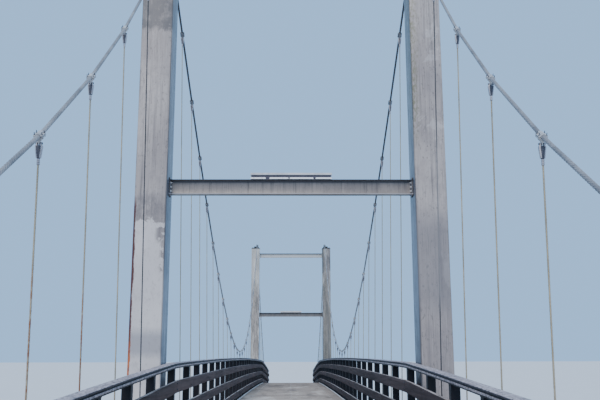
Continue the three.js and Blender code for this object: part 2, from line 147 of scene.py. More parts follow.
# Outlines in the plane of the hanger, and profiles as (distance along the hanger or pin, radius)
CLAMP_LUG = [(-20, 12), (20, 12), (10, 50), (6, 57), (-6, 57), (-10, 50)]
SOCKET_PIN = [(-21, 5.5), (-20, 6.5), (20, 6.5), (21, 5.5)]
SOCKET_EAR = [(-9, 47), (-5, 42), (5, 42), (9, 47), (10.5, 68), (-10.5, 68)]
SOCKET_NECK = [(136, 9), (143, 8.5), (148, 8)]
FERRULE = [(146, 8), (147, 10), (157, 10), (158, 8), (160, 8), (161, 10), (170, 10), (171, 8), (173, 8),
           (174, 10), (181, 10), (184, 7)]
FOOT_FERRULE = [(158, 6.5), (155, 9.5), (118, 10), (110, 14), (72, 15), (64, 13)]
FORK_EAR = [(-11, -72), (11, -72), (11, -30), (6, -23), (-6, -23), (-11, -30)]
FORK_PIN = [(-20, 6), (-19, 7), (19, 7), (20, 6)]
FOOT_LUG = [(-30, 12), (-9, -48), (9, -48), (30, 12)]
ANCHOR_SOCKET = [(-285, 24), (-280, 30), (-262, 32), (-255, 40), (-90, 62), (-84, 66), (-60, 66), (-52, 58),
                 (-50, 58), (-46, 70), (-27, 70)]
BEARING_PLATE = [(-140, -140), (140, -140), (140, 140), (-140, 140)]
# The open socket's basket: distance down the hanger, half width, half depth
BASKET = [(62, 20, 12.5), (72, 21.5, 14), (126, 15.5, 12), (140, 14, 11)]

main_hangers = [FIRST_HANGER - TOWER_Y + PITCH * i for i in range(23)]
side_stations = [FIRST_HANGER + PITCH * i for i in range(SIDE_STATIONS)]
LAST_D = side_stations[SIDE_HANGERS - 1]


def deck_z(y):
    inside = min(abs(y), TOWER_Y)
    d = abs(y) - inside
    return DECK_CREST_Z - CAMBER * inside ** 2 - SIDE_FALL * d - SIDE_CAMBER * d ** 2


def slope_at(y):
    d = abs(y) - TOWER_Y
    fall = 2 * CAMBER * abs(y) if d < 0 else SIDE_FALL + 2 * SIDE_CAMBER * d
    return -math.copysign(fall, y)


def steel_top(y):
    """Top of the floor beams, on which the stringers and posts stand."""
    return deck_z(y) - PLANK_THICK - STRINGER_HIGH


def stations(y0, y1, step=550.0):
    n = max(1, math.ceil(abs(y1 - y0) / step))
    return [y0 + (y1 - y0) * i / n for i in range(n + 1)]


def post_stations(side):
    if side:
        return sorted(side * (TOWER_Y + d) for d in side_stations)
    return [-TOWER_Y, *main_hangers, TOWER_Y]


def corners(a, b):
    return [(p, q) for p in (-a, a) for q in (-b, b)]


def unit(v):
    v = np.asarray(v, float)
    return v / np.linalg.norm(v)


# Mesh helpers
class Shell:
    """Collects closed bodies in millimetres of the real bridge into one mesh."""

    def __init__(self):
        self.points = []
        self.faces = []
        self.slots = []
        self.count = 0

    def add(self, points, faces, slot):
        points = np.asarray(points, float).reshape(-1, 3)
        flat = [(f[0], f[i], f[i + 1]) for f in faces for i in range(1, len(f) - 1)]
        tri = points[np.array(flat)] - points.mean(0)
        if np.einsum("ij,ij->i", tri[:, 0], np.cross(tri[:, 1], tri[:, 2])).sum() < 0:
            faces = [tuple(reversed(f)) for f in faces]
        self.faces.extend(tuple(i + self.count for i in f) for f in faces)
        self.slots.extend(slot if isinstance(slot, list) else [slot] * len(faces))
        self.points.append(points)
        self.count += len(points)


def loft(shell, rings, slot=0, edge_slots=None):
    """A closed body through equal rings of points, capped at both ends."""
    rings = np.asarray(rings, float)
    n, m = rings.shape[:2]
    faces = []
    for i in range(n - 1):
        for k in range(m):
            j = (k + 1) % m
            faces.append((i * m + k, i * m + j, (i + 1) * m + j, (i + 1) * m + k))
    faces += [tuple(reversed(range(m))), tuple(range((n - 1) * m, n * m))]
    shell.add(rings, faces, (edge_slots or [slot] * m) * (n - 1) + [slot, slot])


def block(shell, lo, hi, cut=3.0, slot=0, axes=None, at=(0, 0, 0)):
    """A box with chamfered edges; axes and at place it elsewhere than along X, Y and Z."""
    lo, hi = np.minimum(lo, hi).astype(float), np.maximum(lo, hi).astype(float)
    cut = min(cut, *(0.3 * (hi - lo)))
    points = []
    index = {}
    for c in range(8):
        far = np.array([c >> a & 1 for a in range(3)], bool)
        corner = np.where(far, hi, lo)
        for a in range(3):
            index[c, a] = len(points)
            points.append(corner + np.where(far, -cut, cut))
            points[-1][a] = corner[a]
    faces = []

    def face(keys, outward):
        ring = tuple(index[key] for key in keys)
        faces.append(ring if outward else ring[::-1])

    for a in range(3):
        b, d = (a + 1) % 3, (a + 2) % 3
        for side in (0, 1):
            face([(side << a | i << b | j << d, a) for i, j in ((0, 0), (1, 0), (1, 1), (0, 1))], side)
        for i in (0, 1):
            for j in (0, 1):
                c0 = i << b | j << d
                c1 = c0 | 1 << a
                face([(c0, b), (c1, b), (c1, d), (c0, d)], i != j)
    for c in range(8):
        face([(c, a) for a in range(3)], bin(c).count("1") % 2)
    if axes is not None:
        points = np.array(points) @ np.array(axes, float)
    shell.add(np.array(points) + np.array(at, float), faces, slot)


def column(shell, x, y, half_x, half_y, z0, z1, cut=3.0, slot=0):
    """A block centred on x and y."""
    block(shell, (x - half_x, y - half_y, z0), (x + half_x, y + half_y, z1), cut, slot)


def turned(shell, profile, at, axis, sides=12, slot=0, turn=0.0):
    """A turned body; profile lists (distance along the axis, radius)."""
    axis = unit(axis)
    a = unit(np.cross(axis, UP if abs(axis[2]) < 0.9 else (1, 0, 0)))
    b = np.cross(axis, a)
    angles = turn + np.arange(sides) * 2 * math.pi / sides
    circle = np.outer(np.cos(angles), a) + np.outer(np.sin(angles), b)
    loft(shell, [np.array(at) + axis * d + circle * r for d, r in profile], slot)


def plate(shell, outline, at, ua, ub, thick, cut=0.0, slot=0):
    """A flat plate; its convex outline lies in the plane of ua and ub, half its thickness on either side."""
    outline = np.array(outline, float)
    ua, ub = unit(ua), unit(ub)
    un = np.cross(ua, ub)
    middle = outline.mean(0)
    reach = np.abs(outline - middle).max()
    small = middle + (outline - middle) * (1 - cut / reach)
    layers = [(-thick / 2, small), (-thick / 2 + cut, outline), (thick / 2 - cut, outline),
              (thick / 2, small)]
    if not cut:
        layers = [layers[0], layers[3]]
    loft(shell, [np.array(at) + np.outer(o[:, 0], ua) + np.outer(o[:, 1], ub) + un * t for t, o in layers],
         slot)


def bolt(shell, at, axis, size, head, washer, tip=0.0, slot=0):
    """A washer, a hexagon and, where tip is set, the threaded end beyond it."""
    axis = unit(axis)
    end = washer + head
    turned(shell, [(-1, size * 1.35), (washer - 0.6, size * 1.35), (washer, size * 1.25)], at, axis, 12, slot)
    turned(shell, [(washer, size), (washer + head * 0.8, size), (end, size * 0.84)], at, axis, 6, slot, 0.3)
    if tip:
        profile = [(end - 1, size * 0.52), (end + tip - 2, size * 0.52), (end + tip, size * 0.4)]
        turned(shell, profile, at, axis, 8, slot)


def along_deck(shell, section, ys, slot=0, edge_slots=None, lift=0.0):
    """A section drawn in (x, z over the deck) that follows the camber through the given stations."""
    loft(shell, [[(x, y, z + deck_z(y) + lift) for x, z in section] for y in ys], slot, edge_slots)


def rope(shell, chain, radius, lay, step, pattern, slot=0):
    """A laid rope: a fluted section that turns once in every lay."""
    chain = np.asarray(chain, float)
    reach = np.concatenate([[0], np.cumsum(np.linalg.norm(np.diff(chain, axis=0), axis=1))])
    t = np.linspace(0, reach[-1], max(2, round(reach[-1] / step)) + 1)
    points = np.stack([np.interp(t, reach, chain[:, k]) for k in range(3)], 1)
    tangent = np.gradient(points, axis=0)
    tangent /= np.linalg.norm(tangent, axis=1)[:, None]
    side = np.array([1.0, 0, 0]) - tangent * tangent[:, :1]
    side /= np.linalg.norm(side, axis=1)[:, None]
    up = np.cross(side, tangent)
    m = 6 * len(pattern)
    angle = np.arange(m)[None, :] * 2 * math.pi / m + (2 * math.pi * t / lay)[:, None]
    size = radius * np.tile(pattern, 6)
    ring = points[:, None] + size[None, :, None] * (
        np.cos(angle)[..., None] * side[:, None] + np.sin(angle)[..., None] * up[:, None])
    loft(shell, ring, slot)


def place(name, data):
    obj = bpy.data.objects.new(name, data)
    bpy.context.scene.collection.objects.link(obj)
    return obj


def make(name, shell, looks, nodes=(), sharp=35):
    mesh = bpy.data.meshes.new(name)
    mesh.from_pydata((np.concatenate(shell.points) * M).tolist(), [], shell.faces)
    for look in looks if isinstance(looks, list) else [looks]:
        mesh.materials.append(look)
    mesh.polygons.foreach_set("material_index", shell.slots)
    mesh.shade_smooth()
    mesh.set_sharp_from_angle(angle=math.radians(sharp))
    mesh.update()
    obj = place(name, mesh)
    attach(obj, "root")
    if nodes:
        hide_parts(*nodes)


# Materials
def shade(*display):
    """A colour given as 0 to 255 in display values."""
    parts = [c / 255 for c in display]
    return tuple(c / 12.92 if c <= 0.04045 else ((c + 0.055) / 1.055) ** 2.4 for c in parts) + (1,)


class Look:
    """A node material whose coordinates are metres of the real bridge.

    A colour with three numbers is given in display values. A mask may be given as (value, low, high): it
    rises from 0 to 1 between the two bounds.
    """

    def __init__(self, name, metallic=0.0, roughness=0.6, specular=0.5):
        self.mat = bpy.data.materials.new(name)
        self.mat.use_nodes = True
        self.tree = self.mat.node_tree
        self.tree.nodes.clear()
        self.bsdf = self.node("ShaderNodeBsdfPrincipled", Metallic=metallic, Roughness=roughness)
        self.bsdf.inputs["Specular IOR Level"].default_value = specular
        self.node("ShaderNodeOutputMaterial", self.bsdf.outputs[0])
        model = self.node("ShaderNodeTexCoord").outputs["Object"]
        self.co = self.node("ShaderNodeMapping", model, Scale=[0.001 / M] * 3).outputs[0]
        self.axes = self.node("ShaderNodeSeparateXYZ", self.co).outputs

    def node(self, kind, *inputs, **settings):
        """A new node; a setting goes to the input of its name or, where there is none, to the property."""
        node = self.tree.nodes.new(kind)
        for key, value in settings.items():
            if key in node.inputs:
                self.put(node.inputs[key], value)
            else:
                setattr(node, key, value)
        for i, value in enumerate(inputs):
            self.put(node.inputs[i], value)
        return node

    def put(self, socket, value):
        if isinstance(value, bpy.types.NodeSocket):
            self.tree.links.new(value, socket)
        elif value is not None:
            socket.default_value = value

    def noise(self, scale, detail=4, rough=0.55, stretch=(1, 1, 1), shift=(0, 0, 0), warp=0.0):
        co = self.node("ShaderNodeMapping", self.co, Scale=stretch, Location=shift).outputs[0]
        settings = {"Scale": scale, "Detail": detail, "Roughness": rough, "Distortion": warp}
        return self.node("ShaderNodeTexNoise", co, **settings).outputs[0]

    def math(self, kind, a, b=None):
        return self.node("ShaderNodeMath", a, b, operation=kind).outputs[0]

    def mask(self, value):
        if isinstance(value, tuple):
            return self.node("ShaderNodeMapRange", *value, 0.0, 1.0, clamp=True).outputs[0]
        return value

    def times(self, *masks):
        total = self.mask(masks[0])
        for mask in masks[1:]:
            total = self.math("MULTIPLY", total, self.mask(mask))
        return total

    def mix(self, factor, a, b, blend="MIX"):
        node = self.node("ShaderNodeMix", data_type="RGBA", blend_type=blend)
        self.put(node.inputs[0], self.mask(factor))
        for i, value in ((6, a), (7, b)):
            self.put(node.inputs[i], shade(*value) if isinstance(value, tuple) and len(value) == 3 else value)
        return node.outputs[2]

    def multiply(self, a, b):
        return self.mix(1.0, a, b, "MULTIPLY")

    def layers(self, colour, *layers):
        """Lays colours over a first one; each layer is a colour and the masks that bound it."""
        for tint, *masks in layers:
            colour = self.mix(self.times(*masks), colour, tint)
        return colour

    def facing(self, axis):
        normal = self.node("ShaderNodeNewGeometry").outputs["Normal"]
        return self.node("ShaderNodeSeparateXYZ", normal).outputs[axis]

    def finish(self, colour, rough=None, bump=None):
        """Sets the colour, the roughness (value, low, high) and the bump (height, strength, distance)."""
        sockets = self.bsdf.inputs
        self.put(sockets["Base Color"], colour)
        if rough:
            value, low, high = rough
            self.put(sockets["Roughness"],
                     self.node("ShaderNodeMapRange", value, 0.25, 0.75, low, high).outputs[0])
        if bump:
            settings = dict(zip(("Height", "Strength", "Distance"), bump))
            self.put(sockets["Normal"], self.node("ShaderNodeBump", **settings).outputs[0])
        return self.mat


def tower_paint(name, tone=1.0):
    look = Look(name, roughness=0.36, specular=0.6)
    x, y, z = look.axes
    aside = look.math("ABSOLUTE", x)
    cloud = look.noise(1.3, stretch=(1, 1, 0.6))
    blotch = look.noise(9.0, 6, 0.7, (1, 1, 0.7), (3, 1, 7))
    runs = look.noise(8.0, 5, 0.62, (3.4, 3.4, 0.08), (5, 2, 1))
    fine_runs = look.noise(26.0, 4, 0.66, (3.0, 3.0, 0.06), (1, 7, 2))
    broad_runs = look.noise(5.0, 5, 0.66, (2.4, 2.4, 0.3), (9, 4, 6))
    speck = look.noise(40.0, 4, 0.7, (1, 1, 0.45), (2, 6, 4))
    ragged = look.noise(4.2, 6, 0.7, (1.6, 1.6, 1), (1, 8, 3), 0.6)
    eaten = look.noise(13.0, 6, 0.75, (1, 1, 0.5), (2, 2, 2))
    near_left = look.times((x, -1.2, -1.3), (y, -12.0, -12.5))
    far_leg = look.times((y, 12.0, 12.5), (aside, 1.4, 1.45))
    # Old paint, mottled, with fine dark specks and streaks that run down; on the near left leg it is dull at
    # the head and just above the newer coat
    jagged = look.math("ADD", z, look.times(ragged, 0.4))
    old = look.layers(
        (150, 143, 143),
        ((176, 169, 167), (cloud, 0.38, 0.62)),
        ((122, 117, 121), (blotch, 0.47, 0.66), 0.4),
        ((112, 107, 110), (runs, 0.53, 0.66), 0.6),
        ((84, 80, 82), (fine_runs, 0.57, 0.66), 0.65),
        ((200, 194, 192), (fine_runs, 0.42, 0.34), 0.4),
        ((86, 82, 83), (speck, 0.58, 0.66), 0.5),
        ((74, 74, 80), near_left, (jagged, 7.74, 7.79), (blotch, 0.2, 0.5), 0.85),
        ((108, 104, 108), near_left, (jagged, 5.72, 5.6), (blotch, 0.35, 0.6), 0.65))
    # A newer, smoother coat: on the near left leg below a ragged edge, with a bare patch, and elsewhere in
    # small patches
    rim = look.math("ADD", z, look.times(ragged, 0.34))
    bare = look.math("MAXIMUM", look.times((x, -1.6, -1.54), (z, 4.86, 4.92), (z, 5.16, 5.1)),
                     look.times((x, -1.54, -1.5), (z, 4.5, 4.56), (z, 4.96, 4.9)))
    bare = look.times(bare, (look.noise(11.0, 5, 0.7, (1, 1, 0.8), (4, 4, 8)), 0.44, 0.48))
    lower = look.times((rim, 5.325, 5.305), look.math("SUBTRACT", 1.0, bare))
    patches = look.times((look.noise(0.9, 6, 0.65, (1, 1, 0.8), (7, 2, 9), 0.8), 0.6, 0.615), 0.35)
    fresh = look.layers(
        (190, 187, 189),
        ((212, 209, 210), (cloud, 0.3, 0.7)),
        ((134, 136, 146), (z, 3.54, 3.64), (z, 3.92, 3.80), 0.65),
        ((150, 147, 151), (blotch, 0.52, 0.64), 0.35),
        ((120, 116, 119), (speck, 0.57, 0.66), 0.25))
    # Rust down the near left leg's outer edge, dark above and orange below
    outer = look.math("ADD", x, look.times(eaten, 0.05))
    rust = look.layers(
        look.mix(look.times((z, 3.9, 3.5), (speck, 0.36, 0.5)), (82, 38, 30), (190, 104, 56)),
        ((58, 34, 30), (eaten, 0.48, 0.6), 0.7))
    # The far legs are streaked in light and dark; the left one is pale at its head, the right one dull
    dull = look.mix((x, 1.3, 1.4), (0.12, 0.12, 0.12, 1),
                    look.math("ADD", 0.4, look.times((z, 7.5, 4.0), 0.36)))
    spots = look.noise(22.0, 4, 0.7, (1, 1, 0.5), (8, 3, 3))
    colour = look.layers(
        look.mix(look.mix(near_left, patches, lower), old, fresh),
        # Green-grey algae specks keep to the near right leg's inner edge, high up
        ((98, 102, 66), (x, 1.58, 1.47), (x, 1.46, 1.465), (z, 5.9, 6.6), (speck, 0.44, 0.56), 0.9),
        # Dark streaks run down the corner line of every leg, and painted shade darkens each leg low on its
        # inner side
        ((66, 64, 66), (aside, 1.486, 1.474), (runs, 0.3, 0.5), (aside, 1.455, 1.46), 0.85),
        ((74, 76, 84), (aside, 1.48, 1.468), (aside, 1.455, 1.46), (z, 6.2, 5.0), (z, 3.4, 4.1), 0.55),
        (rust, (outer, -1.79, -1.8), (z, 5.45, 5.3), (y, -13.3, -13.5)),
        # The near right leg is dimmer just below its crossbeam
        ((112, 110, 116), (x, 1.2, 1.3), (y, -12.0, -12.5), (z, 5.35, 5.05), (z, 3.95, 4.25), 0.55),
        ((88, 91, 92), far_leg, (broad_runs, 0.53, 0.6), 0.72),
        ((214, 214, 210), far_leg, (broad_runs, 0.48, 0.42), 0.72),
        ((214, 216, 212), far_leg, (x, -1.3, -1.4), (z, 6.4, 7.2), 0.5),
        ((60, 66, 70), far_leg, dull),
        ((112, 74, 50), (spots, 0.7, 0.75), 0.6),
        ((96, 90, 80), (z, 1.2, 0.5), (blotch, 0.3, 0.6), 0.6))
    # Painted reflection: faces that look sideways are tinted bluer, like the sky, than those that look along
    # the bridge
    flank = (look.math("ABSOLUTE", look.facing(0)), 0.5, 0.85)
    colour = look.multiply(colour, look.mix(flank, (1.0, 0.955, 0.92, 1), (1.06, 1.18, 1.34, 1)))
    if tone != 1.0:
        # Crossbeams: the far upper one is pale and the far lower one dark
        far, high = look.mask((y, 12.0, 12.5)), look.mask((z, 6.5, 7.5))
        layers = [((196, 200, 200), far, high, 0.6),
                  ((52, 58, 62), far, look.math("SUBTRACT", 1.0, high), 0.5)]
        # Painted shadow under a crossbeam's top flange, painted shade on its undersides, and a painted
        # highlight along its lower rim
        web = look.mask((look.math("ABSOLUTE", look.facing(2)), 0.5, 0.3))
        for beam in (LOWER_BEAM, UPPER_BEAM):
            top, low = (beam["z"] + beam["high"] / 2) / 1000, (beam["z"] - beam["high"] / 2) / 1000
            layers += [
                ((40, 41, 52), (z, top - 0.036, top - 0.028), (z, top + 0.004, top + 0.002), web, 0.85),
                ((164, 160, 164), (z, low - 0.004, low - 0.002), (z, low + 0.012, low + 0.01), web, 0.8)]
        colour = look.layers(look.multiply(colour, (tone, tone, tone, 1)), *layers,
                             ((46, 46, 55), (look.facing(2), -0.4, -0.7), 0.75))
    return look.finish(colour, (blotch, 0.26, 0.46), (look.mix(0.35, blotch, speck), 0.3, 0.002))


def dark_steel(name):
    look = Look(name, roughness=0.5, specular=0.3)
    cloud = look.noise(5.0)
    fine = look.noise(45.0, 4, 0.65)
    chips = look.noise(30.0, 4, 0.7, shift=(4, 4, 1))
    colour = look.layers(
        (11, 9, 14),
        ((22, 18, 26), (cloud, 0.35, 0.7)),
        ((84, 82, 84), (look.facing(2), 0.3, 0.95), (fine, 0.35, 0.6), 0.7),
        ((84, 48, 32), (chips, 0.69, 0.74), 0.7))
    return look.finish(colour, (fine, 0.38, 0.66), (fine, 0.2, 0.001))


def rail_paint(name, pale, light, dark, worn):
    look = Look(name, roughness=0.55)
    cloud = look.noise(3.0, stretch=(1, 0.5, 1))
    grit = look.noise(36.0, 5, 0.75, (1, 0.6, 1))
    patchy = look.noise(11.0, 5, 0.7, (1, 0.35, 1), (3, 6, 2))
    wear = look.noise(16.0, 4, 0.7, (1, 0.3, 1), (6, 2, 2))
    colour = look.layers(
        dark,
        (light, (cloud, 0.35, 0.68)),
        (dark, (patchy, 0.5, 0.62), 0.6),
        (worn, (grit, 0.51, 0.57), 0.85),
        (pale, (grit, 0.45, 0.4), 0.5),
        (worn, (wear, 0.6, 0.68), 0.7))
    return look.finish(colour, (grit, 0.45, 0.75), (grit, 0.35, 0.0012))


# Metres along the bridge: a darker tint, painted shade on the main cable and its clamps, is full in the main
# span's first bays beyond the near tower, and gone further on
NEAR_BAYS = (-6.5, -9.0)


def wire_rope(name, light, dark, groove, near_bays=None, paler_middle=None, stained=None):
    look = Look(name, metallic=0.15, roughness=0.55)
    x, y, z = look.axes
    cloud = look.noise(4.0)
    wires = look.noise(160.0, 3, 0.7, (1, 0.35, 0.5))
    grease = look.noise(12.0, 4, 0.7, shift=(2, 7, 5))
    layers = [(groove, (wires, 0.5, 0.72), 0.5), (groove, (grease, 0.6, 0.74), 0.4)]
    if near_bays:
        layers.append((near_bays, (y, *NEAR_BAYS), 0.85))
    if paler_middle:
        # The middle of the right-hand hanger is paler, with less painted shade
        layers.append((paler_middle, (x, -0.5, 0.5), (z, 6.0, 5.6), (z, 4.0, 4.2), 0.85))
    if stained:
        # Brown stains low on the left-hand ropes of the near side span, all but the two by the tower
        spots = look.noise(30.0, 4, 0.7, (1, 1, 0.5), (5, 2, 8))
        layers.append((stained, (x, 0.5, -0.5), (y, -16.2, -16.4), (z, 4.15, 3.85), (spots, 0.4, 0.55), 0.85))
    colour = look.layers(dark, (light, (cloud, 0.32, 0.7)), *layers)
    return look.finish(colour, (wires, 0.38, 0.62), (wires, 0.5, 0.0008))


def fitting(name, light, dark, near_bays=None):
    look = Look(name, metallic=0.3, roughness=0.5)
    cloud = look.noise(18.0, 4, 0.6)
    fine = look.noise(150.0, 3, 0.6)
    stain = look.noise(34.0, 4, 0.7, (1, 1, 0.5), (7, 1, 3))
    layers = [((112, 84, 66), (stain, 0.62, 0.72), 0.6)]
    if near_bays:
        layers.append((near_bays, (look.axes[1], *NEAR_BAYS), 0.75))
    colour = look.layers(dark, (light, (cloud, 0.35, 0.66)), *layers)
    return look.finish(colour, (cloud, 0.4, 0.62), (fine, 0.25, 0.0006))


def planks(name, light, mid, dark, along, tone, pale_top=None, trodden=False):
    """Weathered wood; along is the axis that the grain follows and tone sets one plank off from another."""
    look = Look(name, roughness=0.85, specular=0.25)
    x, y, _ = look.axes
    grain_scale, soft_scale = [28.0] * 3, [6.0] * 3
    grain_scale[along], soft_scale[along] = 0.8, 0.35
    grain = look.noise(1.0, 6, 0.62, grain_scale, (tone * 7, tone * 11, tone * 5), 0.5)
    soft = look.noise(1.0, 4, 0.6, soft_scale, (3, 1, 2))
    cloud = look.noise(1.1, 4, 0.6, shift=(9, 4, 2))
    stain = look.noise(5.0, 5, 0.7, shift=(2, 8, 2))
    colour = look.layers(
        mid,
        (light, (soft, 0.3, 0.7)),
        (dark, (grain, 0.48, 0.7), 0.7),
        (light, (grain, 0.46, 0.3), 0.4),
        (dark, (stain, 0.54, 0.7), 0.45),
        (dark, (cloud, 0.52, 0.7), 0.35))
    colour = look.multiply(colour, (tone, tone * 0.99, tone * 0.98, 1))
    if trodden:
        # Paler and darker patches run along the walk, over several planks, and dirt lies along its edges
        walk = look.noise(1.0, 5, 0.62, (1.5, 0.32, 1), (6, 3, 2))
        colour = look.layers(
            colour,
            (dark, (walk, 0.48, 0.36), 0.6),
            ((206, 196, 186), (walk, 0.54, 0.66), 0.6),
            (dark, (look.math("ABSOLUTE", x), 0.95, 1.25), (stain, 0.3, 0.6), 0.55))
        # Painted shade: the main span darkens beyond its crest
        beyond = look.multiply(colour, (0.72, 0.71, 0.71, 1))
        colour = look.layers(colour, (beyond, (y, -1.0, 9.0), (y, 15.0, 14.0)))
    if pale_top:
        # Painted shade: the boards of the right railing are darker than those of the left
        flank = look.mix((x, -0.5, 0.5), (1.1, 1.08, 1.05, 1), (0.78, 0.76, 0.76, 1))
        colour = look.layers(look.multiply(colour, flank),
                             (pale_top, (look.facing(2), 0.35, 0.8), (grain, 0.75, 0.35), 0.85))
    return look.finish(colour, (grain, 0.72, 0.95), (grain, 0.6, 0.0015))


def concrete_look(name):
    look = Look(name, roughness=0.9, specular=0.2)
    cloud = look.noise(1.4, 5, 0.6)
    mottle = look.noise(8.0, 5, 0.65, shift=(2, 5, 5))
    pores = look.noise(55.0, 4, 0.7)
    runs = look.noise(4.0, 4, 0.6, (3, 3, 0.25), (1, 1, 6))
    colour = look.layers(
        (150, 147, 139),
        ((178, 174, 165), (cloud, 0.32, 0.7)),
        ((128, 124, 116), (mottle, 0.5, 0.7), 0.45),
        ((104, 102, 94), (runs, 0.54, 0.72), 0.45),
        ((92, 92, 78), (look.axes[2], 0.35, 0.0), (mottle, 0.35, 0.6), 0.65),
        ((96, 94, 88), (pores, 0.66, 0.72)))
    return look.finish(colour, (mottle, 0.82, 0.96), (look.mix(0.5, mottle, pores), 0.5, 0.003))


def cast_black(name):
    look = Look(name)
    cloud = look.noise(9.0)
    grain = look.noise(110.0, 4, 0.7)
    rust = look.noise(20.0, 4, 0.7, (1, 1, 0.6), (5, 5, 5))
    colour = look.layers((22, 23, 27), ((44, 45, 50), (cloud, 0.35, 0.68)),
                         ((92, 60, 44), (rust, 0.64, 0.72), 0.5))
    return look.finish(colour, (cloud, 0.45, 0.72), (grain, 0.5, 0.0012))


def panel_white(name, light, dark):
    look = Look(name, roughness=0.45)
    cloud = look.noise(7.0)
    runs = look.noise(10.0, 4, 0.6, (3, 1, 0.4), (4, 4, 4))
    colour = look.layers(light, (dark, (cloud, 0.35, 0.7)), ((120, 120, 122), (runs, 0.55, 0.72), 0.4))
    return look.finish(colour, (runs, 0.35, 0.6), (cloud, 0.12, 0.001))


paint = tower_paint("tower_paint_weathered")
beam_look = tower_paint("beam_paint_grey", 0.54)
steel = dark_steel("dark_steel_paint")
rail_look = rail_paint("rail_paint_lavender", (214, 204, 206), (180, 168, 170), (150, 139, 143), (92, 84, 89))
# A darker copy of the rail paint, painted shade for the rail cap's sides and undersides
rail_shaded_side = rail_paint("rail_paint_painted_shade", (84, 74, 86), (60, 52, 62), (42, 36, 45), (27, 24, 29))
strand = wire_rope("wire_rope_galvanised", (158, 157, 160), (118, 118, 123), (60, 62, 69))
main_strand = wire_rope("wire_rope_main", (166, 166, 168), (126, 127, 131), (66, 68, 75), (42, 44, 52))
hanger_look = wire_rope("hanger_rope_galvanised", (190, 176, 150), (150, 138, 116), (92, 84, 72),
                        stained=(138, 80, 46))
# A dark copy of the hanger rope, painted shade for the first hanger of each side cable, next to the tower
hanger_painted_shade = wire_rope("hanger_rope_painted_shade", (70, 68, 70), (48, 47, 50), (30, 30, 34),
                        paler_middle=(136, 132, 132))
clamp_look = fitting("clamp_galvanised", (202, 201, 201), (164, 164, 168))
main_clamp = fitting("clamp_main_cable", (202, 201, 201), (164, 164, 168), (84, 86, 92))
socket_look = fitting("socket_galvanised", (184, 182, 187), (142, 141, 151))
dark_fitting = fitting("fitting_dark", (48, 49, 58), (28, 30, 40))
link_look = fitting("link_grey", (88, 89, 99), (60, 62, 74))
deck_looks = [planks(f"deck_planks_{i}", (194, 178, 164), (162, 149, 138), (88, 80, 74),
                     0, tone, trodden=True)
              for i, tone in enumerate((1.0, 0.9, 0.8, 0.68, 1.12))]
board_looks = [planks(f"board_wood_{i}", (90, 74, 72), (62, 51, 52), (30, 25, 26), 1, tone, (196, 182, 176))
               for i, tone in enumerate((1.0, 0.82, 1.18))]
stone = concrete_look("concrete_weathered")
black = cast_black("saddle_cast_black")
white = panel_white("panel_white", (250, 250, 249), (238, 238, 238))
lid_grey = panel_white("panel_lid_grey", (206, 206, 208), (184, 185, 189))
case_dark = fitting("panel_case_dark", (74, 72, 86), (56, 55, 68))
edge_look = fitting("edge_strip_pale", (230, 226, 222), (200, 196, 193))


# Deck
def build_planks():
    """Transverse planks, each a little off its neighbours and screwed down, and the strips at the edges."""
    for name, y0, y1, side in SPANS:
        rng = random.Random(name)
        shell, screws, strips = Shell(), Shell(), Shell()
        count = round((y1 - y0) / PLANK_PITCH)
        width = (y1 - y0) / count
        for i in range(count):
            y = y0 + (i + 0.5) * width
            half = width / 2 - rng.uniform(2.5, 5.0)
            z = deck_z(y) - rng.uniform(0.0, 2.4)
            tilt = slope_at(y) + rng.uniform(-0.004, 0.004)
            right = DECK_HALF - rng.uniform(0, 9)
            left = DECK_HALF - rng.uniform(0, 9)
            axes = [(1, 0, 0), (0, math.cos(tilt), math.sin(tilt)), (0, -math.sin(tilt), math.cos(tilt))]
            tone = rng.choice(PLANK_TONES)
            block(shell, (-left, -half, 2 - PLANK_THICK), (right, half, 0), 4.0, tone, axes, (0, y, z))
            for x in STRINGER_X:
                for dy in (-SCREW_Y, SCREW_Y):
                    at = (x + rng.uniform(-6, 6), y + dy, z + dy * tilt - 0.4)
                    turned(screws, SCREW_HEAD, at, UP, 6)
        make(f"{name}_planks", shell, deck_looks, [f"{name}_deck"])
        make(f"{name}_deck_screws", screws, clamp_look)
        for sign in (-1, 1):
            section = [(sign * x, z) for x, z in STRIP_SECTION]
            for a in np.arange(y0 + 4, y1 - 10, STRIP_PITCH):
                b = min(a + (STRIP_PITCH - STRIP_GAP), y1 - 4)
                if b - a > 50:
                    along_deck(strips, section, stations(a, b))
        make(f"{name}_edge_strips", strips, edge_look)


def rolled(half_wide, half_high, flange, web, root=6.0):
    """The outline of a rolled I section with rounded roots."""
    r = half_high - flange
    quarter = [(half_wide, half_high), (half_wide, r)]
    for angle in (0, 45, 90):
        a = math.radians(angle)
        quarter.append((web / 2 + root - root * math.sin(a), r - root + root * math.cos(a)))
    right = quarter + [(x, -z) for x, z in reversed(quarter)]
    return right + [(-x, -z) for x, z in right]


def across(shell, outline, y, z, half):
    loft(shell, [[(x, y + a, z + b) for a, b in outline] for x in (-half, half)])


